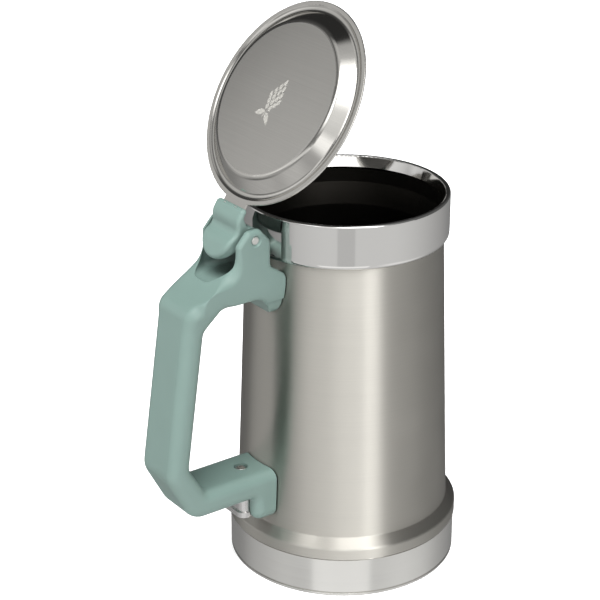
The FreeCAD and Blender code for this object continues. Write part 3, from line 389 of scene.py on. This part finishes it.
CAMERA_PLACE = Vector((-449.3, -587.5, 441.2)) * MM
CAMERA_AIM = Vector((-15.26, 11.12, 117.5)) * MM
CAMERA_LENS_MM = 112.5
SENSOR_WIDTH_MM = 36.0

KEY_PLACE = Vector((-0.5, -0.4, 1.4))
KEY_AIM = Vector((0, 0, 0.1))
KEY_SIZE = 0.9
KEY_POWER = 44.0

# What the steel reflects, as soft patches of light added up. A row holds the middle, the width and the
# soft edge of the patch in azimuth, the same three in elevation, all in degrees, and the brightness, which
# takes light away where it is negative. Azimuth is counted from the camera's side of the stein, to the
# camera's right.
PATCHES = [
    (16, 180, 120, -45, 90, 24, 0.42),
    (8, 58, 56, 46, 92, 26, 1.10),
    (0, 160, 90, 40, 80, 26, 0.12),
    (33, 17, 8, 45, 84, 24, 2.90),
    (10, 44, 14, 64, 36, 16, 2.00),
    (-44, 28, 12, 54, 44, 20, 2.40),
    (-25, 130, 30, 12, 12, 8, 0.70),
    (80, 56, 36, -44, 22, 14, 0.25),
    (-100, 36, 12, 18, 40, 26, 0.46),
    (-88, 50, 24, -4, 20, 16, 0.22),
    (-80, 36, 20, -14, 16, 10, -0.30),
    (-84, 60, 30, -40, 24, 8, 0.13),
    (0, 60, 5, -40, 24, 5, 0.34),
    (2, 19, 2, -22, 7, 3, -0.13),
]

# A box of light overhead. Each extent is a middle, a width and a soft edge, measured on a direction of
# length 1: first towards the camera's side, then to the right.
OVERHEAD_DEPTH = (0.03, 0.56, 0.15)
OVERHEAD_BREADTH = (-0.12, 0.80, 0.20)
OVERHEAD_LOWEST = 0.5
OVERHEAD_BRIGHTNESS = 0.50

# The dim room: its wide front part, in degrees of azimuth, and its floor and walls.
ROOM_FRONT = (6.0, 290.0, 60.0)
ROOM_FRONT_BRIGHTNESS = 0.08
ROOM_FLOOR_BRIGHTNESS = 0.22
ROOM_WALL_BRIGHTNESS = 0.03
# The elevations, in degrees, between which the floor gives way to the walls.
ROOM_FLOOR_END = -14.0
ROOM_WALL_START = -2.0


def make_floor():
    """A pale round floor, far wider than any view needs."""
    mesh = bpy.data.meshes.new("floor")
    shape = bmesh.new()
    bmesh.ops.create_circle(shape, cap_ends=True, radius=FLOOR_RADIUS, segments=96)
    shape.to_mesh(mesh)
    shape.free()
    floor = bpy.data.objects.new("floor", mesh)
    floor.location.z = -FLOOR_DROP
    bpy.context.scene.collection.objects.link(floor)
    material, tree, bsdf = new_material("pale_floor")
    feed(tree, bsdf.inputs["Base Color"], FLOOR_COLOR)
    feed(tree, bsdf.inputs["Emission Color"], FLOOR_GLOW_COLOR)
    feed(tree, bsdf.inputs["Emission Strength"], FLOOR_GLOW)
    feed(tree, bsdf.inputs["Roughness"], FLOOR_ROUGHNESS)
    feed(tree, bsdf.inputs["Specular IOR Level"], 0.0)
    mesh.materials.append(material)
    floor.visible_glossy = False


def band(tree, value, middle, width, edge):
    """1 inside a band about the middle, falling smoothly to 0 over the edge on both sides."""
    away = calculate(tree, "ABSOLUTE", calculate(tree, "SUBTRACT", value, middle))
    return remap(tree, away, (width - edge) / 2, (width + edge) / 2, 1.0, 0.0, smooth=True)


def room_light(tree, azimuth, elevation):
    """The dim room: a paler floor, dark walls, and a little more light from its front part."""
    ground = remap(
        tree, elevation, ROOM_FLOOR_END, ROOM_WALL_START, ROOM_FLOOR_BRIGHTNESS, ROOM_WALL_BRIGHTNESS,
        smooth=True,
    )
    front = band(tree, azimuth, *ROOM_FRONT)
    return calculate(tree, "MULTIPLY_ADD", front, ROOM_FRONT_BRIGHTNESS, ground)


def with_patches(tree, azimuth, elevation, light):
    """The given light with every soft patch added."""
    for across, width, side_edge, up, height, top_edge, brightness in PATCHES:
        sideways = band(tree, azimuth, across, width, side_edge)
        upward = band(tree, elevation, up, height, top_edge)
        patch = calculate(tree, "MULTIPLY", sideways, upward)
        light = calculate(tree, "MULTIPLY_ADD", patch, brightness, light)
    return light


def with_overhead(tree, axes, light):
    """The given light with the box overhead added."""
    depth = band(tree, axes["X"], *OVERHEAD_DEPTH)
    breadth = band(tree, axes["Y"], *OVERHEAD_BREADTH)
    above = calculate(tree, "GREATER_THAN", axes["Z"], OVERHEAD_LOWEST)
    box = calculate(tree, "MULTIPLY", calculate(tree, "MULTIPLY", depth, breadth), above)
    return calculate(tree, "MULTIPLY_ADD", box, OVERHEAD_BRIGHTNESS, light)


def white_where_seen(tree, light):
    """The given light for reflections, and plain white where the background itself is in view."""
    seen = tree.nodes.new("ShaderNodeLightPath").outputs["Is Camera Ray"]
    missing = calculate(tree, "SUBTRACT", 1.0, light)
    return calculate(tree, "MULTIPLY_ADD", seen, missing, light)


def make_studio():
    """The room that the steel reflects: dim grey with patches of light, and plain white to the eye."""
    world = bpy.data.worlds.new("studio")
    bpy.context.scene.world = world
    world.use_nodes = True
    tree = world.node_tree
    turned = tree.nodes.new("ShaderNodeVectorRotate")
    turned.rotation_type = "Z_AXIS"
    feed(tree, turned.inputs["Vector"], tree.nodes.new("ShaderNodeTexCoord").outputs["Generated"])
    feed(tree, turned.inputs["Angle"], -math.atan2(CAMERA_PLACE.y, CAMERA_PLACE.x))
    split = tree.nodes.new("ShaderNodeSeparateXYZ")
    feed(tree, split.inputs[0], turned.outputs["Vector"])
    axes = split.outputs
    azimuth = calculate(tree, "DEGREES", calculate(tree, "ARCTAN2", axes["Y"], axes["X"]))
    elevation = calculate(tree, "DEGREES", calculate(tree, "ARCSINE", axes["Z"]))
    light = room_light(tree, azimuth, elevation)
    light = with_patches(tree, azimuth, elevation, light)
    light = with_overhead(tree, axes, light)
    light = white_where_seen(tree, light)
    grey = tree.nodes.new("ShaderNodeCombineXYZ")
    for socket in grey.inputs:
        feed(tree, socket, light)
    feed(tree, tree.nodes["Background"].inputs["Color"], grey.outputs[0])


def look_at(item, place, aim):
    """Puts a camera or a lamp at a place, facing another place."""
    item.location = place
    item.rotation_euler = (aim - place).to_track_quat("-Z", "Y").to_euler()
    bpy.context.scene.collection.objects.link(item)


def make_key_panel():
    """A large soft panel light, high on the camera's side."""
    data = bpy.data.lights.new("key_panel", "AREA")
    data.shape = "SQUARE"
    data.size = KEY_SIZE
    data.energy = KEY_POWER
    panel = bpy.data.objects.new("key_panel", data)
    panel.visible_glossy = False
    look_at(panel, KEY_PLACE, KEY_AIM)


def make_camera():
    data = bpy.data.cameras.new("camera")
    data.lens = CAMERA_LENS_MM
    data.sensor_width = SENSOR_WIDTH_MM
    data.clip_start = 10 * MM
    camera = bpy.data.objects.new("camera", data)
    look_at(camera, CAMERA_PLACE, CAMERA_AIM)
    bpy.context.scene.camera = camera


paint_cad_nodes()
make_lid_etching()
make_floor()
make_camera()
make_studio()
make_key_panel()
bpy.context.scene.view_settings.view_transform = "Standard"
